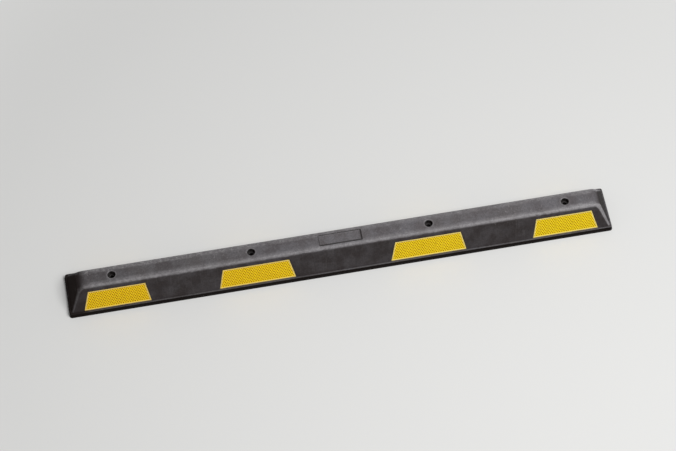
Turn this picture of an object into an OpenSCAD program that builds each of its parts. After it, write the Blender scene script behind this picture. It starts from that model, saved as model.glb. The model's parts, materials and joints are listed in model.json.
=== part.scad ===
// Moulded rubber parking wheel stop with let-in reflector plates.
// Origin: middle of the base, on the ground. +X runs along the stop,
// -Y is the front face, +Z is up. All lengths are in millimetres.

/* [Body] */
// Overall length, over the foot flange
body_length = 1650; // [1620:1:1830]
// Overall width, over the foot flange
body_width = 142; // [138:1:160]
// Height of the flat top above the ground
body_height = 100; // [96:1:120]
// Width of the top between the two slopes, before the ridges are rounded
top_width = 56.5; // [50:0.5:60]
// How far each end of the top stands in from the end of the foot
end_setback = 39; // [30:1:44]
// Radius of the rounded ridges round the top
ridge_radius = 17; // [6:1:18]
// Radius of the corners between the slopes at their feet, seen from above
corner_radius = 8; // [3:0.5:12]

/* [Base] */
// Height of the upright lip that carries the slopes
lip_height = 18.5; // [16:0.5:22]
// Radius of the lip's upright corners, seen from above
lip_corner_radius = 6; // [3:0.5:12]
// Width of the ledge between the foot of a slope and the edge of the lip
ledge_width = 4.5; // [2.5:0.5:7]
// How far the foot flange stands out past the lip
flange_reach = 2.5; // [1:0.5:4]
// Height of the foot flange
flange_height = 4.5; // [3:0.5:8]
// Radius of the foot flange's corners, seen from above
flange_corner_radius = 8; // [4:0.5:14]

/* [Fixing holes] */
// Distance from each end of the stop to the nearest fixing hole
outer_hole_inset = 141; // [134:1:148]
// Distance between the two inner fixing holes
inner_hole_spacing = 536; // [510:1:560]
// Diameter of the through holes for the ground bolts
hole_diameter = 13; // [10:0.5:17]
// Diameter of the recess that takes the bolt's head
head_recess_diameter = 23; // [20:0.5:28]
// Depth of the head recess below the top
head_recess_depth = 17; // [8:1:30]
// Size of the chamfer at the mouth of each hole
mouth_chamfer = 1.5; // [0.5:0.5:2.5]

/* [Top recess] */
// Length of the shallow blank recess in the middle of the top
plate_length = 130; // [60:1:160]
// Width of the blank recess
plate_width = 37; // [20:1:37]
// Depth of the blank recess
plate_depth = 2.5; // [1:0.5:5]
// Corner radius of the blank recess
plate_corner_radius = 2; // [1:0.5:6]

/* [Reflectors] */
// Height of a reflector, measured up the slope
reflector_height = 67; // [50:1:68]
// Distance from the foot of the slope to the lower edge of a reflector
reflector_foot_gap = 1; // [1:0.5:3]
// Thickness of a reflector over its rim
reflector_thickness = 2.5; // [2:0.1:3]
// Distance from the middle of the stop to an inner reflector's upper edge
inner_reflector_start = 160; // [140:1:180]
// Length of an inner reflector's upper edge
inner_reflector_length = 199; // [160:1:220]
// How far an inner reflector widens at each side towards its lower edge
inner_reflector_slant = 15; // [8:0.5:18]
// Distance from each end of the stop to an outer reflector's upper edge
outer_reflector_inset = 65; // [58:1:75]
// Length of an outer reflector's upper edge
outer_reflector_length = 170; // [140:1:175]
// How far an outer reflector widens towards the middle
outer_reflector_near_slant = 10.5; // [6:0.5:16]
// How far an outer reflector widens towards the end of the stop
outer_reflector_far_slant = 19; // [10:0.5:21]
// Width of the smooth rim round a reflector's face
rim_width = 3.5; // [2:0.5:6]
// Height of the rim above the face
rim_height = 0.6; // [0.3:0.1:1]

/* [Reflector pockets] */
// Depth of the pocket that a reflector is bonded into
pocket_depth = 3; // [2:0.5:4]
// Gap between a reflector and its pocket at the sides and the top
pocket_side_gap = 1.5; // [0.5:0.5:2]
// Gap between a reflector and its pocket at the lower edge
pocket_lower_gap = 0.5; // [0.25:0.25:1]

/* [Underside] */
// Depth of the relief pockets in the underside
relief_depth = 45; // [10:1:50]
// Length of each relief pocket along the stop
relief_length = 99; // [40:1:105]
// Width of the relief pockets across the stop
relief_width = 84; // [40:1:86]
// Corner radius of the relief pockets
relief_corner_radius = 8; // [2:1:12]
// Thickness of the ribs between the relief pockets
rib_thickness = 20; // [12:1:24]
// Number of relief pockets between an outer and an inner hole
outer_relief_count = 3; // [1:1:3]
// Number of relief pockets between the two inner holes
middle_relief_count = 4; // [1:1:4]

/* [Hidden] */

$fn = 64;
hull_facets = 32;
// How far a cut runs past the face that it opens
cut_margin = 1;
// How far the slopes run down inside the lip, so that they meet its top cleanly
slope_root = 3;
// Thickness of the slices that the upper body is blended between
slice = 0.5;

rubber_colour = [0.29, 0.28, 0.285];
reflector_colour = [0.83, 0.70, 0.13];

// Distances of the fixing holes from the middle of the stop
outer_hole_x = body_length / 2 - outer_hole_inset;
inner_hole_x = inner_hole_spacing / 2;

// The lip and the feet of the slopes, seen from above
lip_length = body_length - 2 * flange_reach;
lip_width = body_width - 2 * flange_reach;
foot_x = lip_length / 2 - ledge_width;
foot_y = lip_width / 2 - ledge_width;

// The slopes, from their feet on the ledge to the unrounded top edges
slope_rise = body_height - lip_height;
side_run = foot_y - top_width / 2;
end_run = foot_x - (body_length / 2 - end_setback);
side_angle = atan2(slope_rise, side_run);
end_angle = atan2(slope_rise, end_run);

// Centre of the ball that rounds each upper corner of the body
ball_x = foot_x - end_run - ridge_radius * tan(end_angle / 2);
ball_y = foot_y - side_run - ridge_radius * tan(side_angle / 2);
ball_z = body_height - ridge_radius;

// The roots of the slopes inside the lip
root_x = foot_x + slope_root * end_run / slope_rise;
root_y = foot_y + slope_root * side_run / slope_rise;

function reflector_is_outer(index) = index == 0 || index == 3;

// Corner points of a reflector on the +X half, as [along the stop, up the slope].
// The outline is grown by side_gap at the sides and top, and by lower_gap below.
function reflector_outline(outer, side_gap, lower_gap) =
    let (
        upper_length = outer ? outer_reflector_length : inner_reflector_length,
        outer_start = body_length / 2 - outer_reflector_inset - outer_reflector_length,
        near_top = outer ? outer_start : inner_reflector_start,
        far_top = near_top + upper_length,
        near_slant = outer ? outer_reflector_near_slant : inner_reflector_slant,
        far_slant = outer ? outer_reflector_far_slant : inner_reflector_slant,
        near_bottom = near_top - near_slant,
        far_bottom = far_top + far_slant,
        low = reflector_foot_gap - lower_gap,
        high = reflector_foot_gap + reflector_height + side_gap
    )
    [
        [near_bottom - side_gap, low],
        [far_bottom + side_gap, low],
        [far_top + side_gap, high],
        [near_top - side_gap, high]
    ];

module rounded_rectangle(length, width, radius) {
    square([length - 2 * radius, width], center = true);
    square([length, width - 2 * radius], center = true);
    for (x = [-1, 1], y = [-1, 1]) {
        translate([x * (length / 2 - radius), y * (width / 2 - radius)])
            circle(radius);
    }
}

// Puts children drawn flat onto the front slope: X along the stop,
// Y up the slope from its foot, Z out of the slope.
module on_front_slope() {
    translate([0, -foot_y, lip_height])
        rotate([side_angle, 0, 0])
            children();
}

module on_slope(front) {
    mirror([0, front ? 0 : 1, 0])
        on_front_slope()
            children();
}

// Reflectors 1 and 2 lie on the -X half as mirror images of 4 and 3.
module reflector_place(index) {
    mirror([index < 2 ? 1 : 0, 0, 0])
        children();
}

module upper_body() {
    hull() {
        for (x = [-1, 1], y = [-1, 1]) {
            translate([x * ball_x, y * ball_y, ball_z])
                sphere(ridge_radius, $fn = hull_facets);
            translate([
                x * (root_x - corner_radius),
                y * (root_y - corner_radius),
                lip_height - slope_root
            ])
                cylinder(h = slice, r = corner_radius, $fn = hull_facets);
        }
        translate([-ball_x, -ball_y, body_height - slice])
            cube([2 * ball_x, 2 * ball_y, slice]);
    }
}

module lip() {
    linear_extrude(lip_height)
        rounded_rectangle(lip_length, lip_width, lip_corner_radius);
}

module foot_flange() {
    linear_extrude(flange_height)
        rounded_rectangle(body_length, body_width, flange_corner_radius);
}

module fixing_hole() {
    translate([0, 0, -cut_margin])
        cylinder(h = body_height + 2 * cut_margin, d = hole_diameter);
    translate([0, 0, body_height - head_recess_depth])
        cylinder(h = head_recess_depth + cut_margin, d = head_recess_diameter);
    translate([0, 0, body_height - mouth_chamfer])
        cylinder(
            h = mouth_chamfer + cut_margin,
            d1 = head_recess_diameter,
            d2 = head_recess_diameter + 2 * (mouth_chamfer + cut_margin)
        );
}

module fixing_holes() {
    for (x = [outer_hole_x, inner_hole_x], side = [-1, 1]) {
        translate([side * x, 0, 0])
            fixing_hole();
    }
}

module top_recess() {
    translate([0, 0, body_height - plate_depth])
        linear_extrude(plate_depth + cut_margin)
            rounded_rectangle(plate_length, plate_width, plate_corner_radius);
}

module reflector_pocket(index) {
    outline = reflector_outline(reflector_is_outer(index), pocket_side_gap, pocket_lower_gap);
    reflector_place(index)
        translate([0, 0, -pocket_depth])
            linear_extrude(pocket_depth + cut_margin)
                polygon(outline);
}

// A row of relief pockets, centred on middle so that the fixing holes stay in solid rubber
module relief_row(middle, count) {
    pitch = relief_length + rib_thickness;
    for (i = [0 : count - 1]) {
        translate([middle + (i - (count - 1) / 2) * pitch, 0, -cut_margin])
            linear_extrude(relief_depth + cut_margin)
                rounded_rectangle(relief_length, relief_width, relief_corner_radius);
    }
}

module relief_pockets() {
    between_holes = (outer_hole_x + inner_hole_x) / 2;
    relief_row(-between_holes, outer_relief_count);
    relief_row(0, middle_relief_count);
    relief_row(between_holes, outer_relief_count);
}

module rubber_body() {
    color(rubber_colour)
        difference() {
            union() {
                upper_body();
                lip();
                foot_flange();
            }
            fixing_holes();
            top_recess();
            relief_pockets();
            for (front = [true, false], index = [0 : 3]) {
                on_slope(front)
                    reflector_pocket(index);
            }
        }
}

// A flat trapezoid plate with a raised rim, bonded to the floor of its pocket
module reflector(front, index) {
    outline = reflector_outline(reflector_is_outer(index), 0, 0);
    face = reflector_outline(reflector_is_outer(index), -rim_width, -rim_width);
    color(reflector_colour)
        on_slope(front)
            reflector_place(index)
                translate([0, 0, -pocket_depth])
                    difference() {
                        linear_extrude(reflector_thickness)
                            polygon(outline);
                        translate([0, 0, reflector_thickness - rim_height])
                            linear_extrude(rim_height + cut_margin)
                                polygon(face);
                    }
}

rubber_body();
reflector(true, 0);  // front_reflector_1
reflector(true, 1);  // front_reflector_2
reflector(true, 2);  // front_reflector_3
reflector(true, 3);  // front_reflector_4
reflector(false, 0);  // rear_reflector_1
reflector(false, 1);  // rear_reflector_2
reflector(false, 2);  // rear_reflector_3
reflector(false, 3);  // rear_reflector_4
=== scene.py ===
"""Looks of a moulded rubber parking wheel stop with yellow reflector plates.

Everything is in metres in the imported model's own frame: +X along the stop, -Y the front
face, +Z up, and the ground at z = 0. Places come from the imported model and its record; the
sizes that the record doesn't hold are named below.
"""

import json
import math

import bmesh
import bpy
from mathutils import Matrix, Vector, noise


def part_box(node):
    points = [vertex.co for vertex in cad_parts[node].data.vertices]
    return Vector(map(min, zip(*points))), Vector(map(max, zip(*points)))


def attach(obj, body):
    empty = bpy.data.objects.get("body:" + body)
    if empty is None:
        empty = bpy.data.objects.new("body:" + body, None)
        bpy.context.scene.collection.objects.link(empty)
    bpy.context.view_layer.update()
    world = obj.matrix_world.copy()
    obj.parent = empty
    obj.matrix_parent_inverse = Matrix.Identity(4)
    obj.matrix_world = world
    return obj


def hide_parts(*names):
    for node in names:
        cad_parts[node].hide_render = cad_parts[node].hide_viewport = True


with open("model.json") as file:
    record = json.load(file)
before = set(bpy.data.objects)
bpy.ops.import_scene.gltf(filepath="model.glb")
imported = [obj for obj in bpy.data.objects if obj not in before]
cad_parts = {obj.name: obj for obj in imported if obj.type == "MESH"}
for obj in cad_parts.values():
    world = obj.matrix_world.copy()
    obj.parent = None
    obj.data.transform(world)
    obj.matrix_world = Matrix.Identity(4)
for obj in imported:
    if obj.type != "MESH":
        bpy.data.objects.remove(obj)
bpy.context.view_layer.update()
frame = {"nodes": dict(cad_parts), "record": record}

MM = 0.001

# Sections of the rubber body
TOP_WIDTH = 56.5 * MM
END_SETBACK = 39 * MM
RIDGE_RADIUS = 17 * MM
END_RIDGE_RADIUS = 32 * MM
CORNER_RADIUS = 8 * MM
LIP_CORNER_RADIUS = 6 * MM
FLANGE_CORNER_RADIUS = 8 * MM
LIP_HEIGHT = 18.5 * MM
LEDGE_WIDTH = 4.5 * MM
FLANGE_REACH = 2.5 * MM
FLANGE_HEIGHT = 4.5 * MM
LIP_EDGE_RADIUS = 1.4 * MM
FLANGE_EDGE_RADIUS = 0.8 * MM

# Edges of the fixing holes, whose places and radii come from the record's mounts
HOLE_MOUTH_RADIUS = 2.0 * MM
HOLE_STEP_RADIUS = 0.8 * MM

# Blank recess in the top
RECESS_LENGTH = 130 * MM
RECESS_WIDTH = 37 * MM
RECESS_DEPTH = 2.5 * MM
RECESS_CORNER = 2 * MM
RECESS_MOUTH_RADIUS = 0.7 * MM

# Pockets round the reflectors
POCKET_DEPTH = 3 * MM
POCKET_SIDE_GAP = 1.5 * MM
POCKET_LOWER_GAP = 0.5 * MM
POCKET_MOUTH_RADIUS = 0.6 * MM

# Relief pockets in the underside
RELIEF_LENGTH = 99 * MM
RELIEF_WIDTH = 84 * MM
RELIEF_DEPTH = 45 * MM
RELIEF_CORNER = 8 * MM
RELIEF_MOUTH_RADIUS = 2 * MM
RIB_THICKNESS = 20 * MM
RELIEFS_BETWEEN_OUTER_HOLES = 3
RELIEFS_IN_MIDDLE = 4

# Reflector plates
RIM_WIDTH = 3.5 * MM
RIM_HEIGHT = 0.6 * MM
RIM_BEVEL = 0.5 * MM
CELL_PITCH = 7.0 * MM
CELL_WALL = 2.1 * MM
CELL_DEPTH = 0.5 * MM
CELL_APEX_DEPTH = 1.3 * MM
CELL_DRAFT = 0.25 * MM

# Where the honeycomb starts, in pitches from the lower left of its outline
FIRST_COLUMN = -0.5
FIRST_ROW = -0.3

# Values of the face attribute that tells the parts of a reflector's mesh apart
ZONE = "zone"
CELL_ZONE, RIB_ZONE, RIM_ZONE = 0.0, 1.0, 2.0

# Colours, as linear red, green, blue and alpha
RUBBER_TOP = (0.124, 0.118, 0.127, 1)
# Painted shade: the top's colour towards the left end, away from the lamp
RUBBER_TOP_SHADED = (0.085, 0.080, 0.085, 1)
# Painted shade: the slopes' colour, darker than the top's
RUBBER_SLOPE_SHADED = (0.043, 0.038, 0.040, 1)
RUBBER_DUST = (0.125, 0.117, 0.117, 1)
# Pale ridges and hole rims: partly wear, partly a painted highlight
RUBBER_WEAR_AND_HIGHLIGHT = (0.235, 0.224, 0.232, 1)
RUBBER_SCUFF = (0.30, 0.29, 0.29, 1)
# Painted shade: on the lip, deep in the holes, round the recess's floor and on the end slopes
RUBBER_SHADE = (0.008, 0.006, 0.005, 1)
# A real stain on the left end, darkened further as painted shade
RUBBER_STAIN_AND_SHADE = (0.009, 0.005, 0.004, 1)
RUBBER_SPECULAR = 0.25
# Specular level under the lip's painted shade and the left end's stain and shade
DARKENED_SPECULAR = 0.06
YELLOW_CELL = (0.47, 0.250, 0.001, 1)
YELLOW_DEEP = (0.40, 0.200, 0.001, 1)
YELLOW_RIB = (1.0, 0.775, 0.012, 1)
YELLOW_RIM = (0.80, 0.64, 0.19, 1)
YELLOW_GRIME = (0.30, 0.20, 0.04, 1)
YELLOW_SPECULAR = 0.12
FLOOR_COLOUR = (0.74, 0.74, 0.73, 1)

# The backdrop: how it looks, how strongly it lights the object, and from how far to how far
# from the object's middle the floor fades into it
BACKDROP_COLOUR = (0.76, 0.76, 0.75, 1)
WORLD_LIGHT = 0.25
FADE_START = 1.0
FADE_END = 2.1
FLOOR_HALF_SIZE = 12.0

# The one lamp, a soft disc to the front right
LAMP_PLACE = (1.9, -1.7, 5.5)
LAMP_SIZE = 3.4
LAMP_POWER = 315

# Dents along the ridges, where crumbs have broken off: their depth, their size, the noise level
# that they start at and how fast they deepen past it
DENT_DEPTH = 1.6 * MM
DENT_SIZE = 9 * MM
DENT_THRESHOLD = 0.12
DENT_RISE = 3.0

# The stretches that have more or fewer dents: their size, what is added to their noise so that
# most of a ridge has some, and how fast the dents deepen past nothing
SPREAD_SIZE = 110 * MM
SPREAD_BIAS = 0.45
SPREAD_RISE = 1.5

# How deep the dents in the front half are, as a share of those in the rear half
FRONT_DENT_SHARE = 0.3

# Sizes of the textures: the rubber's first, then the reflectors'
BLOTCH_SIZE = 45 * MM
CLOUD_SIZE = 160 * MM
GRAIN_SIZE = 2.2 * MM
GRAIN_RELIEF = 0.25 * MM
CRUMB_SIZE = 3.2 * MM
CRUMB_RELIEF = 0.35 * MM
CRUMB_BEND = 5 * MM
CRUMB_BEND_SIZE = 4 * MM
STREAK_SIZE = 5 * MM
RUBBED_SIZE = 16 * MM
SCUFF_SIZE = 7 * MM
SCUFF_SPREAD = 60 * MM
REAR_SCUFF_SIZE = 10 * MM
STAIN_SIZE = 25 * MM
YELLOW_BLOTCH_SIZE = 30 * MM
SPECK_SIZE = 1.6 * MM
GRIME_SIZE = 12 * MM
BEAD_SIZE = 0.9 * MM
BEAD_RELIEF = 0.06 * MM

# From a hole's axis, where each starts and is full: its ring of wear and painted highlight, its
# painted shade
HOLE_RING = (18 * MM, 13 * MM)
HOLE_SHADE = (13 * MM, 12 * MM)

# Mesh steps
LONG_SIDE_STEP = 3.5 * MM
SHORT_SIDE_STEPS = 10
SLOPE_STEPS = 8
RIDGE_STEPS = 16
ARC_STEPS = 12
TURN_STEPS = 64
FLANGE_EDGE_STEPS = 3
LIP_EDGE_STEPS = 5
HOLE_MOUTH_STEPS = 6
CUT_EDGE_STEPS = 4

# How far a cutter stands out of the body, and the tolerances of the mesh work
CUT_MARGIN = 2 * MM
WELD_DISTANCE = 0.01 * MM
CUTTER_WELD_DISTANCE = 0.001 * MM
OUTLINE_TOLERANCE = 0.01 * MM
HONEYCOMB_CUT_TOLERANCE = 0.02 * MM

# Edges sharper than this, in degrees, stay sharp in the shading
BODY_SHARP_ANGLE = 32
REFLECTOR_SHARP_ANGLE = 50

# The photograph's camera
CAMERA_AZIMUTH = math.radians(10.404)
CAMERA_ELEVATION = math.radians(61.213)
CAMERA_DISTANCE = 6.597
CAMERA_AIM = Vector((0.01113, 0.09533, 0.0))
CAMERA_LENS = 116.0
SENSOR_WIDTH = 36.0

BODY_NODE = "rubber_body"
REFLECTOR_NODES = sorted(n for n in frame["nodes"] if "reflector" in n)

_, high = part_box(BODY_NODE)
HALF_LENGTH = high.x
HALF_WIDTH = high.y
HEIGHT = high.z
LIP_X = HALF_LENGTH - FLANGE_REACH
LIP_Y = HALF_WIDTH - FLANGE_REACH
FOOT_X = LIP_X - LEDGE_WIDTH
FOOT_Y = LIP_Y - LEDGE_WIDTH
SLOPE_RISE = HEIGHT - LIP_HEIGHT
SIDE_RUN = FOOT_Y - TOP_WIDTH / 2
END_RUN = FOOT_X - (HALF_LENGTH - END_SETBACK)
SIDE_ANGLE = math.atan2(SLOPE_RISE, SIDE_RUN)
END_ANGLE = math.atan2(SLOPE_RISE, END_RUN)

# Half the length and half the width of the flat top, inside its rounded ridges
FLAT_X = FOOT_X - END_RUN - END_RIDGE_RADIUS * math.tan(END_ANGLE / 2)
FLAT_Y = FOOT_Y - SIDE_RUN - RIDGE_RADIUS * math.tan(SIDE_ANGLE / 2)

# Places along the stop: where a look starts and where it has come to its full strength
# The ridges' pale band of wear and painted highlight, brighter towards the lit right end
PALE_RIDGE = (0.35, FLAT_X)
REAR_SCUFFS = (0.10, -0.45)
# The top is painted darker towards the left, as shade
SHADED_TOP = (0.10, -0.55)
# The left end's real stain, with painted shade
LEFT_STAIN_AND_SHADE = (12 * MM - FLAT_X, -26 * MM - FLAT_X)
ORANGE_PLATES = (0.7, -0.7)

MOUNTS = {m["name"]: m for m in frame["record"]["mounts"]}


# ---------------------------------------------------------------- mesh helpers


def new_object(name, vertices, faces):
    mesh = bpy.data.meshes.new(name)
    mesh.from_pydata([tuple(v) for v in vertices], [], faces)
    mesh.validate()
    obj = bpy.data.objects.new(name, mesh)
    bpy.context.scene.collection.objects.link(obj)
    return obj


def ring_faces(count, first, second):
    """Quads between two closed rings of count points that start at those indices."""
    faces = []
    for i in range(count):
        j = (i + 1) % count
        faces.append((first + i, first + j, second + j, second + i))
    return faces


def skin(rings):
    """(vertices, faces) of a closed solid through rings of equal length, from the bottom up."""
    count = len(rings[0])
    vertices = [p for ring in rings for p in ring]
    faces = [tuple(reversed(range(count)))]
    for i in range(len(rings) - 1):
        faces += ring_faces(count, i * count, (i + 1) * count)
    faces.append(tuple(range((len(rings) - 1) * count, len(rings) * count)))
    return vertices, faces


def joined(parts):
    """One (vertices, faces) from several."""
    vertices, faces = [], []
    for part_vertices, part_faces in parts:
        base = len(vertices)
        vertices += part_vertices
        faces += [tuple(base + i for i in face) for face in part_faces]
    return vertices, faces


def quarter_arc(steps):
    """(cosine, sine) pairs of a quarter turn, both ends included."""
    return [
        (math.cos(math.pi / 2 * i / steps), math.sin(math.pi / 2 * i / steps))
        for i in range(steps + 1)
    ]


def rounded_box_ring(half_x, half_y, radius, z, steps_x=1, steps_y=1):
    """A rounded rectangle seen from above, anticlockwise, with its straight sides divided."""
    arc = quarter_arc(ARC_STEPS)
    core_x, core_y = half_x - radius, half_y - radius
    corners = []
    for sign_x, sign_y, turn in ((1, -1, -90), (1, 1, 0), (-1, 1, 90), (-1, -1, 180)):
        rotation = Matrix.Rotation(math.radians(turn), 2)
        points = [rotation @ Vector(p) * radius for p in arc]
        corners.append([(sign_x * core_x + p.x, sign_y * core_y + p.y) for p in points])
    ring = []
    for i, corner in enumerate(corners):
        ring += corner
        start, end = corner[-1], corners[(i + 1) % 4][0]
        steps = steps_y if i % 2 == 0 else steps_x
        for k in range(1, steps):
            t = k / steps
            ring.append((start[0] + (end[0] - start[0]) * t, start[1] + (end[1] - start[1]) * t))
    return [Vector((x, y, z)) for x, y in ring]


def revolved(profile, x, y):
    """A closed solid of revolution about the vertical axis through x, y from (radius, z) pairs."""
    turns = [2 * math.pi * i / TURN_STEPS for i in range(TURN_STEPS)]
    rings = [
        [Vector((x + radius * math.cos(t), y + radius * math.sin(t), z)) for t in turns]
        for radius, z in profile
    ]
    return skin(rings)


# ---------------------------------------------------------------- the slopes' own frames


def slope_frame(front):
    """Matrix from (along, up the slope, out of the slope) to the model's own frame."""
    side = -1 if front else 1
    along = Vector((1, 0, 0))
    up = Vector((0, -side * math.cos(SIDE_ANGLE), math.sin(SIDE_ANGLE)))
    out = Vector((0, side * math.sin(SIDE_ANGLE), math.cos(SIDE_ANGLE)))
    origin = Vector((0, side * FOOT_Y, LIP_HEIGHT))
    matrix = Matrix((along, up, out)).transposed().to_4x4()
    matrix.translation = origin
    return matrix


def reflector_outline(node):
    """A packed reflector's corners as (along, up the slope), anticlockwise from lower left."""
    to_slope = slope_frame(node.startswith("front")).inverted()
    points = [to_slope @ v.co for v in frame["nodes"][node].data.vertices]
    bottom, top = min(p.y for p in points), max(p.y for p in points)
    lower = [p.x for p in points if p.y < bottom + OUTLINE_TOLERANCE]
    upper = [p.x for p in points if p.y > top - OUTLINE_TOLERANCE]
    return [
        Vector((min(lower), bottom)),
        Vector((max(lower), bottom)),
        Vector((max(upper), top)),
        Vector((min(upper), top)),
    ]


def grown(outline, gaps):
    """A convex anticlockwise outline with each side moved out by its own gap."""
    count = len(outline)
    lines = []
    for i in range(count):
        a, b = outline[i], outline[(i + 1) % count]
        direction = (b - a).normalized()
        normal = Vector((direction.y, -direction.x))
        lines.append((a + normal * gaps[i], direction))
    points = []
    for i in range(count):
        (p, d), (q, e) = lines[i - 1], lines[i]
        cross = d.x * e.y - d.y * e.x
        offset = q - p
        points.append(p + d * ((offset.x * e.y - offset.y * e.x) / cross))
    return points


# ---------------------------------------------------------------- the rubber body


def ridge_foot(radius, angle):
    """The height at which a slope of this angle runs into its rounded ridge."""
    return HEIGHT - radius * (1 - math.cos(angle))


def ridge_spread(z, radius):
    """How far out of the flat top's edge a rounded ridge stands at height z."""
    return math.sqrt(max(radius**2 - (z - HEIGHT + radius) ** 2, 0))


def slope_reach(z, flat, foot, run, radius):
    """Half the body's size at height z, on a slope with this run or on its rounded ridge."""
    if z < ridge_foot(radius, math.atan2(SLOPE_RISE, run)):
        return foot - (z - LIP_HEIGHT) * run / SLOPE_RISE
    return flat + ridge_spread(z, radius)


def body_sections():
    """(z, half length, half width, corner radius) of the body from the ground to the top."""
    rows = []
    edge = FLANGE_EDGE_RADIUS
    inset = HALF_LENGTH - edge, HALF_WIDTH - edge, FLANGE_CORNER_RADIUS - edge
    for z, turn in [(edge, -1), (FLANGE_HEIGHT - edge, 1)]:
        arc = quarter_arc(FLANGE_EDGE_STEPS)
        for cosine, sine in arc if turn > 0 else reversed(arc):
            reach = edge * cosine
            rows.append((z + turn * edge * sine, *(value + reach for value in inset)))
    edge = LIP_EDGE_RADIUS
    rows.append((FLANGE_HEIGHT, LIP_X, LIP_Y, LIP_CORNER_RADIUS))
    for cosine, sine in quarter_arc(LIP_EDGE_STEPS):
        shrink = edge * (1 - cosine)
        z = LIP_HEIGHT - edge + edge * sine
        rows.append((z, LIP_X - shrink, LIP_Y - shrink, LIP_CORNER_RADIUS - shrink))
    end_ridge_foot = ridge_foot(END_RIDGE_RADIUS, END_ANGLE)
    side_ridge_foot = ridge_foot(RIDGE_RADIUS, SIDE_ANGLE)
    heights = [
        LIP_HEIGHT + (end_ridge_foot - LIP_HEIGHT) * i / SLOPE_STEPS for i in range(SLOPE_STEPS)
    ]
    for i in range(RIDGE_STEPS + 1):
        heights.append(ridge_foot(END_RIDGE_RADIUS, END_ANGLE * (1 - i / RIDGE_STEPS)))
    for z in heights:
        share = (z - LIP_HEIGHT) / (side_ridge_foot - LIP_HEIGHT)
        if share <= 1:
            ridge_corner = RIDGE_RADIUS * math.sin(SIDE_ANGLE)
            radius = CORNER_RADIUS + (ridge_corner - CORNER_RADIUS) * share
        else:
            radius = ridge_spread(z, RIDGE_RADIUS)
        half_x = slope_reach(z, FLAT_X, FOOT_X, END_RUN, END_RIDGE_RADIUS)
        half_y = slope_reach(z, FLAT_Y, FOOT_Y, SIDE_RUN, RIDGE_RADIUS)
        rows.append((z, half_x, half_y, radius))
    return rows


def dented(point):
    """A point of a rounded ridge, moved in to where the crumbs have broken off."""
    if point.z < ridge_foot(RIDGE_RADIUS, SIDE_ANGLE):
        return point
    nearest_x = min(max(point.x, -FLAT_X), FLAT_X)
    nearest_y = min(max(point.y, -FLAT_Y), FLAT_Y)
    core = Vector((nearest_x, nearest_y, HEIGHT - RIDGE_RADIUS))
    bite = noise.noise(point / DENT_SIZE) - DENT_THRESHOLD
    worn = noise.noise(point / SPREAD_SIZE) + SPREAD_BIAS
    if bite <= 0 or worn <= 0:
        return point
    share = 1.0 if point.y > 0 else FRONT_DENT_SHARE
    depth = DENT_DEPTH * share * min(bite * DENT_RISE, 1) * min(worn * SPREAD_RISE, 1)
    return point + (core - point).normalized() * depth


def body_shell():
    """The body before anything is cut in it, as a fine grid of quads."""
    steps_x = round(2 * HALF_LENGTH / LONG_SIDE_STEP)
    steps_y = SHORT_SIDE_STEPS
    rings = []
    for z, half_x, half_y, radius in body_sections():
        ring = rounded_box_ring(half_x, half_y, radius, z, steps_x, steps_y)
        rings.append([dented(point) for point in ring])
    vertices, faces = skin(rings)
    faces.pop()
    # The last ring has come down to a plain rectangle, so a grid of its own closes it
    columns, rows = steps_x + 1, steps_y + 1
    base = len(vertices)
    for j in range(rows):
        for i in range(columns):
            x = -FLAT_X + 2 * FLAT_X * i / steps_x
            y = -FLAT_Y + 2 * FLAT_Y * j / steps_y
            edge = i in (0, steps_x) or j in (0, steps_y)
            point = Vector((x, y, HEIGHT))
            vertices.append(dented(point) if edge else point)
    for j in range(steps_y):
        for i in range(steps_x):
            a = base + j * columns + i
            faces.append((a, a + 1, a + 1 + columns, a + columns))
    obj = new_object("body_shell", vertices, faces)
    weld(obj, WELD_DISTANCE)
    return obj


def weld(obj, distance):
    mesh = bmesh.new()
    mesh.from_mesh(obj.data)
    bmesh.ops.remove_doubles(mesh, verts=mesh.verts, dist=distance)
    bmesh.ops.dissolve_degenerate(mesh, edges=mesh.edges, dist=distance / 10)
    bmesh.ops.recalc_face_normals(mesh, faces=mesh.faces)
    mesh.to_mesh(obj.data)
    mesh.free()


def hole_cutter(number):
    bolt = MOUNTS[f"bolt_hole_{number}"]
    head = MOUNTS[f"head_recess_{number}"]
    x, y, _ = bolt["pos_m"]
    shank = bolt["dims"]["r_mm"] * MM
    head_radius = head["dims"]["r_mm"] * MM
    step_z = bolt["pos_m"][2] + bolt["dims"]["length_mm"] * MM / 2
    profile = [(shank, -CUT_MARGIN)]
    for cosine, sine in quarter_arc(CUT_EDGE_STEPS):
        radius = shank + HOLE_STEP_RADIUS * (1 - cosine)
        profile.append((radius, step_z - HOLE_STEP_RADIUS + HOLE_STEP_RADIUS * sine))
    profile.append((head_radius, step_z))
    for cosine, sine in quarter_arc(HOLE_MOUTH_STEPS):
        radius = head_radius + HOLE_MOUTH_RADIUS * (1 - cosine)
        profile.append((radius, HEIGHT - HOLE_MOUTH_RADIUS + HOLE_MOUTH_RADIUS * sine))
    profile.append((head_radius + HOLE_MOUTH_RADIUS, HEIGHT + CUT_MARGIN))
    return revolved(profile, x, y)


def recess_cutter():
    def ring(spread, z):
        half_x, half_y = RECESS_LENGTH / 2, RECESS_WIDTH / 2
        return rounded_box_ring(half_x + spread, half_y + spread, RECESS_CORNER + spread, z)

    rings = [ring(0, HEIGHT - RECESS_DEPTH)]
    for cosine, sine in quarter_arc(CUT_EDGE_STEPS):
        z = HEIGHT - RECESS_MOUTH_RADIUS + RECESS_MOUTH_RADIUS * sine
        rings.append(ring(RECESS_MOUTH_RADIUS * (1 - cosine), z))
    last = [Vector((p.x, p.y, HEIGHT + CUT_MARGIN)) for p in rings[-1]]
    return skin(rings + [last])


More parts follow.
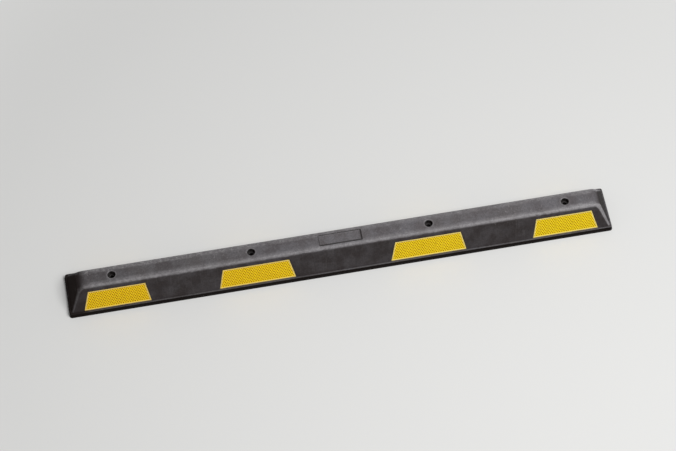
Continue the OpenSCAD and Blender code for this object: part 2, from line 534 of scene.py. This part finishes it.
def pocket_cutter(node):
    to_model = slope_frame(node.startswith("front"))
    outline = reflector_outline(node)
    levels = [(-POCKET_DEPTH, 0)]
    for cosine, sine in quarter_arc(CUT_EDGE_STEPS):
        level = -POCKET_MOUTH_RADIUS + POCKET_MOUTH_RADIUS * sine
        levels.append((level, POCKET_MOUTH_RADIUS * (1 - cosine)))
    levels.append((CUT_MARGIN, POCKET_MOUTH_RADIUS))
    rings = []
    for level, spread in levels:
        side = POCKET_SIDE_GAP + spread
        points = grown(outline, [POCKET_LOWER_GAP + spread, side, side, side])
        rings.append([to_model @ Vector((p.x, p.y, level)) for p in points])
    return skin(rings)


def relief_cutter(x):
    def ring(spread, z):
        half_x, half_y = RELIEF_LENGTH / 2, RELIEF_WIDTH / 2
        return rounded_box_ring(half_x + spread, half_y + spread, RELIEF_CORNER + spread, z)

    edge = RELIEF_MOUTH_RADIUS
    rings = [ring(edge, -CUT_MARGIN)]
    for cosine, sine in quarter_arc(CUT_EDGE_STEPS):
        rings.append(ring(edge * (1 - sine), edge * (1 - cosine)))
    for cosine, sine in quarter_arc(CUT_EDGE_STEPS):
        rings.append(ring(-edge * (1 - cosine), RELIEF_DEPTH - edge + edge * sine))
    vertices, faces = skin(rings)
    return [v + Vector((x, 0, 0)) for v in vertices], faces


def relief_centres():
    outer = abs(MOUNTS["bolt_hole_1"]["pos_m"][0])
    inner = abs(MOUNTS["bolt_hole_2"]["pos_m"][0])
    between = (outer + inner) / 2
    pitch = RELIEF_LENGTH + RIB_THICKNESS
    rows = [
        (-between, RELIEFS_BETWEEN_OUTER_HOLES),
        (0, RELIEFS_IN_MIDDLE),
        (between, RELIEFS_BETWEEN_OUTER_HOLES),
    ]
    for middle, count in rows:
        for i in range(count):
            yield middle + (i - (count - 1) / 2) * pitch


def rubber_body():
    shell = body_shell()
    parts = [hole_cutter(number) for number in range(1, 5)]
    parts.append(recess_cutter())
    parts += [pocket_cutter(node) for node in REFLECTOR_NODES]
    parts += [relief_cutter(x) for x in relief_centres()]
    cutters = new_object("cutters", *joined(parts))
    weld(cutters, CUTTER_WELD_DISTANCE)
    cut = shell.modifiers.new("cut", "BOOLEAN")
    cut.operation = "DIFFERENCE"
    cut.solver = "EXACT"
    cut.object = cutters
    graph = bpy.context.evaluated_depsgraph_get()
    mesh = bpy.data.meshes.new_from_object(shell.evaluated_get(graph))
    bpy.data.objects.remove(shell)
    bpy.data.objects.remove(cutters)
    body = bpy.data.objects.new("moulded_body", mesh)
    bpy.context.scene.collection.objects.link(body)
    return body


def smooth_by_angle(obj, degrees):
    """Smooth shading that keeps edges sharper than this, with flat faces kept flat."""
    mesh = obj.data
    mesh.shade_smooth()
    mesh.set_sharp_from_angle(angle=math.radians(degrees))
    weighted = obj.modifiers.new("weighted normals", "WEIGHTED_NORMAL")
    weighted.keep_sharp = True
    weighted.weight = 100


# ---------------------------------------------------------------- the reflectors


def hexagon(centre, radius):
    """Corners of a hexagon that stands on a point, anticlockwise."""
    turns = [math.radians(30 + 60 * i) for i in range(6)]
    return [centre + Vector((math.cos(t), math.sin(t))) * radius for t in turns]


def add_cell(mesh, zone, centre, level):
    """One honeycomb cell: its share of the flat ribs, a short wall and a shallow cone."""
    radius = CELL_PITCH / math.sqrt(3)
    mouth = radius - CELL_WALL / math.sqrt(3)
    rings = [
        (radius, level),
        (mouth, level),
        (mouth - CELL_DRAFT, level - CELL_DEPTH),
    ]
    points = [
        [mesh.verts.new((p.x, p.y, height)) for p in hexagon(centre, size)]
        for size, height in rings
    ]
    apex = mesh.verts.new((centre.x, centre.y, level - CELL_APEX_DEPTH))
    for i in range(6):
        j = (i + 1) % 6
        outer, inner, floor = points
        mesh.faces.new((outer[i], outer[j], inner[j], inner[i]))[zone] = RIB_ZONE
        mesh.faces.new((inner[i], inner[j], floor[j], floor[i]))[zone] = CELL_ZONE
        mesh.faces.new((floor[i], floor[j], apex))[zone] = CELL_ZONE


def honeycomb(mesh, zone, outline, level):
    """Cells in staggered rows over an outline, cut back to it."""
    row_pitch = CELL_PITCH * math.sqrt(3) / 2
    left, right = min(p.x for p in outline), max(p.x for p in outline)
    bottom, top = outline[0].y, outline[2].y
    columns = math.ceil((right - left) / CELL_PITCH) + 2
    rows = math.ceil((top - bottom) / row_pitch) + 2
    for row in range(rows):
        stagger = CELL_PITCH / 2 * (row % 2)
        for column in range(columns):
            x = left + (column + FIRST_COLUMN) * CELL_PITCH + stagger
            y = bottom + (row + FIRST_ROW) * row_pitch
            add_cell(mesh, zone, Vector((x, y)), level)
    bmesh.ops.remove_doubles(mesh, verts=mesh.verts, dist=WELD_DISTANCE)
    for i, corner in enumerate(outline):
        direction = outline[(i + 1) % len(outline)] - corner
        bmesh.ops.bisect_plane(
            mesh,
            geom=mesh.verts[:] + mesh.edges[:] + mesh.faces[:],
            dist=HONEYCOMB_CUT_TOLERANCE,
            plane_co=(corner.x, corner.y, 0),
            plane_no=(direction.y, -direction.x, 0),
            clear_outer=True,
        )


def moved_between(point, old, new):
    """Carries a point on one outline to the same share of the same side of another."""
    best = None
    for i, a in enumerate(old):
        side = old[(i + 1) % len(old)] - a
        offset = point - a
        share = min(max(offset.dot(side) / side.length_squared, 0), 1)
        miss = (offset - side * share).length
        if best is None or miss < best[0]:
            best = miss, i, share
    _, i, share = best
    return new[i].lerp(new[(i + 1) % len(new)], share)


def reflector(node):
    """A plate with a rounded rim and a honeycomb face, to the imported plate's own outline."""
    to_model = slope_frame(node.startswith("front"))
    outline = reflector_outline(node)
    heights = [(to_model.inverted() @ v.co).z for v in frame["nodes"][node].data.vertices]
    base, top = min(heights), max(heights)
    mesh = bmesh.new()
    zone = mesh.faces.layers.float.new(ZONE)
    inner = grown(outline, [-RIM_WIDTH] * 4)
    honeycomb(mesh, zone, inner, top - RIM_HEIGHT)
    levels = [
        (top - RIM_BEVEL, RIM_WIDTH),
        (top, RIM_WIDTH - RIM_BEVEL),
        (top, RIM_BEVEL),
        (top - RIM_BEVEL, 0),
        (base, 0),
    ]
    edges = [e for e in mesh.edges if e.is_boundary]
    current = inner
    for level, inset in levels:
        target = grown(outline, [-inset] * 4)
        made = bmesh.ops.extrude_edge_only(mesh, edges=edges)["geom"]
        for face in made:
            if isinstance(face, bmesh.types.BMFace):
                face[zone] = RIM_ZONE
        for vertex in made:
            if isinstance(vertex, bmesh.types.BMVert):
                place = moved_between(vertex.co.xy, current, target)
                vertex.co = (place.x, place.y, level)
        edges = [e for e in made if isinstance(e, bmesh.types.BMEdge) and e.is_boundary]
        current = target
    floor = bmesh.ops.contextual_create(mesh, geom=edges)["faces"]
    for face in floor:
        face[zone] = RIM_ZONE
    bmesh.ops.recalc_face_normals(mesh, faces=mesh.faces)
    mesh.transform(to_model)
    if to_model.determinant() < 0:
        bmesh.ops.reverse_faces(mesh, faces=mesh.faces)
    data = bpy.data.meshes.new(node + "_plate")
    mesh.to_mesh(data)
    mesh.free()
    obj = bpy.data.objects.new(node + "_plate", data)
    bpy.context.scene.collection.objects.link(obj)
    return obj


# ---------------------------------------------------------------- materials


class Graph:
    """A node tree, built up by short calls."""

    def __init__(self, tree):
        self.tree = tree

    def put(self, node, key, value):
        if isinstance(value, bpy.types.NodeSocket):
            self.tree.links.new(value, node.inputs[key])
        else:
            node.inputs[key].default_value = value

    def add(self, kind, inputs, **settings):
        node = self.tree.nodes.new(kind)
        for key, value in settings.items():
            setattr(node, key, value)
        for key, value in inputs.items():
            self.put(node, key, value)
        return node

    def math(self, operation, *values):
        return self.add("ShaderNodeMath", dict(enumerate(values)), operation=operation).outputs[0]

    def total(self, first, *others):
        for other in others:
            first = self.math("ADD", first, other)
        return first

    def product(self, first, *others):
        for other in others:
            first = self.math("MULTIPLY", first, other)
        return first

    def largest(self, first, *others):
        for other in others:
            first = self.math("MAXIMUM", first, other)
        return first

    def step(self, value, start, end, out_start=0.0, out_end=1.0):
        """A smooth step from out_start to out_end while value goes from start to end."""
        inputs = {
            "Value": value,
            "From Min": start,
            "From Max": end,
            "To Min": out_start,
            "To Max": out_end,
        }
        node = self.add("ShaderNodeMapRange", inputs, interpolation_type="SMOOTHSTEP")
        return node.outputs["Result"]

    def stretched(self, vector, scale):
        inputs = {0: vector, 1: scale}
        return self.add("ShaderNodeVectorMath", inputs, operation="MULTIPLY").outputs[0]

    def noise(self, vector, size, detail=3.0, roughness=0.5):
        """Fractal noise around 0.5 with blobs of about this size."""
        inputs = {"Vector": vector, "Scale": 1 / size, "Detail": detail, "Roughness": roughness}
        return self.add("ShaderNodeTexNoise", inputs).outputs["Fac"]

    def scaled(self, vector, factor):
        inputs = {0: vector, "Scale": factor}
        return self.add("ShaderNodeVectorMath", inputs, operation="SCALE").outputs[0]

    def crumbs(self, vector, size):
        return self.add("ShaderNodeTexVoronoi", {"Vector": vector, "Scale": 1 / size})

    def mix(self, factor, first, second):
        inputs = {0: factor, 6: first, 7: second}
        return self.add("ShaderNodeMix", inputs, data_type="RGBA").outputs[2]

    def bump(self, height, distance, strength, normal=None):
        inputs = {"Height": height, "Distance": distance, "Strength": strength}
        if normal is not None:
            inputs["Normal"] = normal
        return self.add("ShaderNodeBump", inputs).outputs["Normal"]

    def backdrop_rays(self):
        """1 for the rays that see the backdrop as it is, 0 for those that only carry light."""
        rays = self.add("ShaderNodeLightPath", {}).outputs
        kinds = ("Is Camera Ray", "Is Glossy Ray", "Is Transmission Ray")
        return self.largest(*(rays[kind] for kind in kinds))


class Shader(Graph):
    """The node tree of a new material."""

    def __init__(self, name):
        self.material = bpy.data.materials.new(name)
        self.material.use_nodes = True
        super().__init__(self.material.node_tree)
        self.surface = self.tree.nodes["Principled BSDF"]

    def finish(self, **inputs):
        for key, value in inputs.items():
            self.put(self.surface, key.replace("_", " "), value)
        return self.material


def rubber_material():
    shader = Shader("moulded_rubber")
    place = shader.add("ShaderNodeTexCoord", {}).outputs["Object"]
    axes = shader.add("ShaderNodeSeparateXYZ", {0: place}).outputs
    normal = shader.add("ShaderNodeNewGeometry", {}).outputs["Normal"]
    facing = shader.add("ShaderNodeSeparateXYZ", {0: normal}).outputs
    across_x = shader.math("ABSOLUTE", facing[0])
    across_y = shader.math("ABSOLUTE", facing[1])
    along = shader.math("ABSOLUTE", axes[0])
    across = shader.math("ABSOLUTE", axes[1])

    # How far a point's normal is from that of the flat face it is nearest to
    def towards(sideways, angle):
        return shader.total(
            shader.product(sideways, math.sin(angle)), shader.product(facing[2], math.cos(angle))
        )

    flatness = shader.largest(
        shader.math("ABSOLUTE", facing[2]),
        across_x,
        across_y,
        towards(across_y, SIDE_ANGLE),
        towards(across_x, END_ANGLE),
    )
    edge = shader.step(flatness, 0.995, 0.90)

    # Distance to the nearest fixing hole's axis
    def hole_distance(number):
        offset = shader.math("SUBTRACT", along, abs(MOUNTS[f"bolt_hole_{number}"]["pos_m"][0]))
        squares = shader.total(shader.product(offset, offset), shader.product(axes[1], axes[1]))
        return shader.math("SQRT", squares)

    near_hole = shader.math("MINIMUM", hole_distance(1), hole_distance(2))

    # Broad and fine unevenness of the moulded crumb
    blotches = shader.noise(place, BLOTCH_SIZE, detail=4, roughness=0.6)
    clouds = shader.noise(place, CLOUD_SIZE, detail=2)
    grain = shader.noise(place, GRAIN_SIZE, detail=2, roughness=0.7)
    wobble = shader.add(
        "ShaderNodeTexNoise", {"Vector": place, "Scale": 1 / CRUMB_BEND_SIZE, "Detail": 3}
    )
    bent = shader.add(
        "ShaderNodeVectorMath",
        {0: wobble.outputs["Color"], 1: (CRUMB_BEND, CRUMB_BEND, CRUMB_BEND), 2: place},
        operation="MULTIPLY_ADD",
    )
    crumb = shader.crumbs(bent.outputs[0], CRUMB_SIZE)
    crumb_tone = shader.add("ShaderNodeSeparateColor", {0: crumb.outputs["Color"]}).outputs[0]
    down_the_slope = shader.stretched(place, (1, 0.06, 0.06))
    streaks = shader.noise(down_the_slope, STREAK_SIZE, detail=3, roughness=0.65)

    # The slopes are painted darker than the top, as shade; the ends' rounder ridges change over
    # more slowly
    upward = shader.step(facing[2], 0.44, 0.86)
    level = shader.math("MINIMUM", upward, shader.step(across_x, 1.0, 0.20))
    steep = shader.step(facing[2], 0.93, 0.60)
    end_slope = shader.step(across_x, 0.70, 0.92)
    high_up = shader.step(axes[2], HEIGHT - 18 * MM, HEIGHT - 3 * MM)
    low_down = shader.step(axes[2], LIP_HEIGHT + 2.5 * MM, LIP_HEIGHT - 3.5 * MM)

    # Where the rubber is paler: partly wear, partly a painted highlight; most along the ridges,
    # brighter towards the right end, and round the holes
    pale_patches = shader.step(shader.noise(place, RUBBED_SIZE, detail=6, roughness=0.7), 0.36, 0.62)
    ridge_band = shader.product(
        high_up,
        shader.step(across, FLAT_Y - 7 * MM, FLAT_Y + 3 * MM),
        upward,
        shader.step(across_x, 0.50, 0.05),
    )
    ridge_wear_and_highlight = shader.product(
        shader.step(axes[0], *PALE_RIDGE, 0.78, 1.2),
        shader.step(axes[0], *LEFT_STAIN_AND_SHADE, 1.0, 0.4),
    )
    corner_wear_and_highlight = shader.step(axes[0], FLAT_X - 90 * MM, FLAT_X - 5 * MM, 0.40, 0.90)
    lengthways = shader.step(across_y, 0.10, 0.35)
    hole_ring = shader.product(
        shader.step(near_hole, *HOLE_RING),
        shader.step(axes[2], HEIGHT - 4 * MM, HEIGHT - 1 * MM),
    )
    wear_and_highlight = shader.largest(
        shader.product(edge, lengthways, shader.step(pale_patches, 0, 1, 0.60, 1.0), ridge_wear_and_highlight),
        shader.product(ridge_band, shader.step(pale_patches, 0, 1, 0.40, 1.0), corner_wear_and_highlight),
        shader.product(hole_ring, shader.step(pale_patches, 0, 1, 0.4, 1.0), 0.45),
    )
    scuffs = shader.product(
        shader.step(shader.noise(place, SCUFF_SIZE, detail=7, roughness=0.75), 0.56, 0.70),
        shader.step(shader.noise(place, SCUFF_SPREAD, detail=2), 0.45, 0.60),
        high_up,
    )
    rear_scuffs = shader.product(
        shader.step(axes[1], FLAT_Y - 6 * MM, FLAT_Y + 3 * MM),
        shader.step(shader.noise(place, REAR_SCUFF_SIZE, detail=4, roughness=0.6), 0.48, 0.60),
        shader.step(axes[0], *REAR_SCUFFS, 0.35, 1.0),
        high_up,
    )

    # Painted shade deep in the holes, and a painted shadow round the recess's floor, thickest
    # along its front and right sides
    hole_shade = shader.product(
        shader.step(near_hole, *HOLE_SHADE),
        shader.step(axes[2], HEIGHT - 1 * MM, HEIGHT - 4 * MM),
    )

    def recess_side(axis, direction, half, thinner):
        inward = shader.total(shader.product(axis, direction), half + thinner)
        return shader.step(inward, 5.2 * MM, 2.0 * MM)

    half_length, half_width = RECESS_LENGTH / 2, RECESS_WIDTH / 2
    # A painted shadow round the recess's floor, thickest along its front and right sides
    recess_shadow = shader.product(
        shader.largest(
            recess_side(axes[1], 1, half_width, -2.0 * MM),
            recess_side(axes[0], -1, half_length, -0.4 * MM),
            recess_side(axes[0], 1, half_length, 2.2 * MM),
            recess_side(axes[1], -1, half_width, 3.2 * MM),
        ),
        shader.step(along, half_length + 1.5 * MM, half_length + 1.0 * MM),
        shader.step(across, half_width + 1.5 * MM, half_width + 1.0 * MM),
        shader.step(axes[2], HEIGHT - 0.4 * MM, HEIGHT - 1.2 * MM),
        shader.step(axes[2], HEIGHT - RECESS_DEPTH - 2 * MM, HEIGHT - RECESS_DEPTH - 1 * MM),
    )
    # The left end: a real stain spread onto the top by noise, and painted shade on its left-facing
    # faces
    stain_and_shade_top = shader.product(
        shader.step(axes[0], *LEFT_STAIN_AND_SHADE),
        shader.step(upward, 0, 1, 0.3, 1.0),
    )
    stain_and_shade = shader.product(
        shader.largest(shader.step(facing[0], -0.35, -0.80), stain_and_shade_top),
        shader.step(shader.noise(place, STAIN_SIZE, detail=5, roughness=0.65), 0.22, 0.46),
    )

    # The colour, layer by layer: (share, colour) pairs laid over what is below them
    # The top is painted darker towards the left, and the slopes darker than the top, both as shade
    top_shade = shader.step(axes[0], *SHADED_TOP)
    colour = shader.mix(level, RUBBER_SLOPE_SHADED, shader.mix(top_shade, RUBBER_TOP, RUBBER_TOP_SHADED))
    blotch_share = shader.product(
        shader.step(blotches, 0.66, 0.36), shader.step(level, 0, 1, 1.0, 0.70)
    )
    colour = shader.mix(blotch_share, colour, shader.stretched(colour, (0.56, 0.50, 0.48)))
    layers = [
        (shader.product(shader.step(streaks, 0.52, 0.78), steep, 0.16), RUBBER_DUST),
        (shader.product(shader.step(clouds, 0.40, 0.70), level, 0.25), RUBBER_DUST),
        # Wear and painted highlight on the ridges, hips and round the holes
        (shader.product(wear_and_highlight, shader.step(low_down, 0, 1, 1.0, 0.35)), RUBBER_WEAR_AND_HIGHLIGHT),
        (
            shader.largest(shader.product(scuffs, 0.6), shader.product(rear_scuffs, 0.45)),
            RUBBER_SCUFF,
        ),
        # Painted shade on the lip, deep in the holes, round the recess's floor and on the end
        # slopes
        (shader.product(low_down, 0.92), RUBBER_SHADE),
        (shader.product(hole_shade, 0.85), RUBBER_SHADE),
        (shader.product(recess_shadow, 0.85), RUBBER_SHADE),
        (shader.product(end_slope, 0.60), RUBBER_SHADE),
        # The left end's real stain, with painted shade
        (shader.product(stain_and_shade, 0.85), RUBBER_STAIN_AND_SHADE),
    ]
    for share, layer in layers:
        colour = shader.mix(share, colour, layer)
    tone = shader.product(
        shader.step(crumb_tone, 0, 1, 0.88, 1.12), shader.step(grain, 0.25, 0.75, 0.85, 1.15)
    )
    colour = shader.scaled(colour, tone)

    roughness = shader.total(
        shader.step(grain, 0.3, 0.7, 0.42, 0.54),
        shader.product(steep, 0.28),
        shader.product(shader.largest(end_slope, low_down), 0.16),
    )
    coarse = shader.bump(crumb.outputs["Distance"], CRUMB_RELIEF, 0.6)
    fine = shader.bump(grain, GRAIN_RELIEF, 0.5, coarse)
    # Less specular under the lip's painted shade and the left end's stain and shade
    darkened = shader.largest(stain_and_shade, low_down)
    return shader.finish(
        Base_Color=colour,
        Roughness=roughness,
        Normal=fine,
        Specular_IOR_Level=shader.step(darkened, 0, 1, RUBBER_SPECULAR, DARKENED_SPECULAR),
    )


def reflector_material():
    shader = Shader("reflective_yellow")
    place = shader.add("ShaderNodeTexCoord", {}).outputs["Object"]
    zone = shader.add("ShaderNodeAttribute", {}, attribute_name=ZONE).outputs["Fac"]
    rib = shader.step(zone, CELL_ZONE + 0.2, RIB_ZONE - 0.2)
    rim = shader.step(zone, RIB_ZONE + 0.2, RIM_ZONE - 0.2)
    blotches = shader.noise(place, YELLOW_BLOTCH_SIZE, detail=4, roughness=0.6)
    specks = shader.noise(place, SPECK_SIZE, detail=3, roughness=0.7)
    grime = shader.step(shader.noise(place, GRIME_SIZE, detail=6, roughness=0.75), 0.60, 0.76)
    beads = shader.crumbs(place, BEAD_SIZE)

    cell = shader.mix(shader.step(blotches, 0.3, 0.7), YELLOW_DEEP, YELLOW_CELL)
    colour = shader.mix(rib, cell, YELLOW_RIB)
    colour = shader.mix(rim, colour, YELLOW_RIM)

    # The plates are a little more orange towards the left
    axes = shader.add("ShaderNodeSeparateXYZ", {0: place}).outputs
    aged = shader.step(axes[0], *ORANGE_PLATES)
    colour = shader.mix(aged, colour, shader.stretched(colour, (1.0, 0.90, 0.80)))
    grime_share = shader.product(grime, shader.step(rim, 0, 1, 0.10, 0.30))
    colour = shader.mix(grime_share, colour, YELLOW_GRIME)
    colour = shader.scaled(colour, shader.step(specks, 0.3, 0.7, 0.93, 1.07))

    roughness = shader.total(shader.step(specks, 0.3, 0.7, 0.26, 0.38), shader.product(rim, 0.12))
    fine = shader.bump(beads.outputs["Distance"], BEAD_RELIEF, 0.5)
    return shader.finish(
        Base_Color=colour,
        Roughness=roughness,
        Normal=fine,
        Specular_IOR_Level=YELLOW_SPECULAR,
    )


def floor_material():
    """A pale floor that fades into the backdrop well away from the object and its shadow."""
    shader = Shader("pale_floor")
    material = shader.finish(Base_Color=FLOOR_COLOUR, Roughness=0.9, Specular_IOR_Level=0.1)
    place = shader.add("ShaderNodeTexCoord", {}).outputs["Object"]
    away = shader.add("ShaderNodeVectorMath", {0: place}, operation="LENGTH").outputs["Value"]
    backdrop = shader.add("ShaderNodeEmission", {"Color": BACKDROP_COLOUR, "Strength": 1.0})
    fade = shader.product(shader.step(away, FADE_START, FADE_END), shader.backdrop_rays())
    faded = shader.add(
        "ShaderNodeMixShader", {0: fade, 1: shader.surface.outputs[0], 2: backdrop.outputs[0]}
    )
    shader.put(shader.tree.nodes["Material Output"], "Surface", faded.outputs[0])
    return material


# ---------------------------------------------------------------- the object

rubber = rubber_material()
body = rubber_body()
body.data.materials.clear()
body.data.materials.append(rubber)
smooth_by_angle(body, BODY_SHARP_ANGLE)
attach(body, "root")
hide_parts(BODY_NODE)

yellow = reflector_material()
for node in REFLECTOR_NODES:
    plate = reflector(node)
    plate.data.materials.append(yellow)
    smooth_by_angle(plate, REFLECTOR_SHARP_ANGLE)
    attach(plate, "root")
    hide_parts(node)


# ---------------------------------------------------------------- stage, light, camera


def make_floor():
    size = FLOOR_HALF_SIZE
    floor = new_object(
        "floor",
        [(-size, -size, 0), (size, -size, 0), (size, size, 0), (-size, size, 0)],
        [(0, 1, 2, 3)],
    )
    floor.data.materials.append(floor_material())


def make_camera():
    data = bpy.data.cameras.new("camera")
    data.lens = CAMERA_LENS
    data.sensor_width = SENSOR_WIDTH
    data.clip_end = 100
    camera = bpy.data.objects.new("camera", data)
    bpy.context.scene.collection.objects.link(camera)
    camera.rotation_euler = (math.pi / 2 - CAMERA_ELEVATION, 0, -CAMERA_AZIMUTH)
    back = camera.rotation_euler.to_matrix() @ Vector((0, 0, 1))
    camera.location = CAMERA_AIM + back * CAMERA_DISTANCE
    bpy.context.scene.camera = camera


def make_lamp():
    data = bpy.data.lights.new("key", "AREA")
    data.shape = "DISK"
    data.size = LAMP_SIZE
    data.energy = LAMP_POWER
    lamp = bpy.data.objects.new("key", data)
    lamp.location = LAMP_PLACE
    lamp.rotation_euler = (-Vector(LAMP_PLACE)).to_track_quat("-Z", "Y").to_euler()
    bpy.context.scene.collection.objects.link(lamp)


def make_world():
    world = bpy.data.worlds.new("world")
    world.use_nodes = True
    graph = Graph(world.node_tree)
    background = graph.tree.nodes["Background"]
    light = (WORLD_LIGHT, WORLD_LIGHT, WORLD_LIGHT, 1)
    graph.put(background, "Color", graph.mix(graph.backdrop_rays(), light, BACKDROP_COLOUR))
    graph.put(background, "Strength", 1.0)
    bpy.context.scene.world = world


make_floor()
make_camera()
make_lamp()
make_world()
bpy.context.scene.view_settings.view_transform = "Standard"
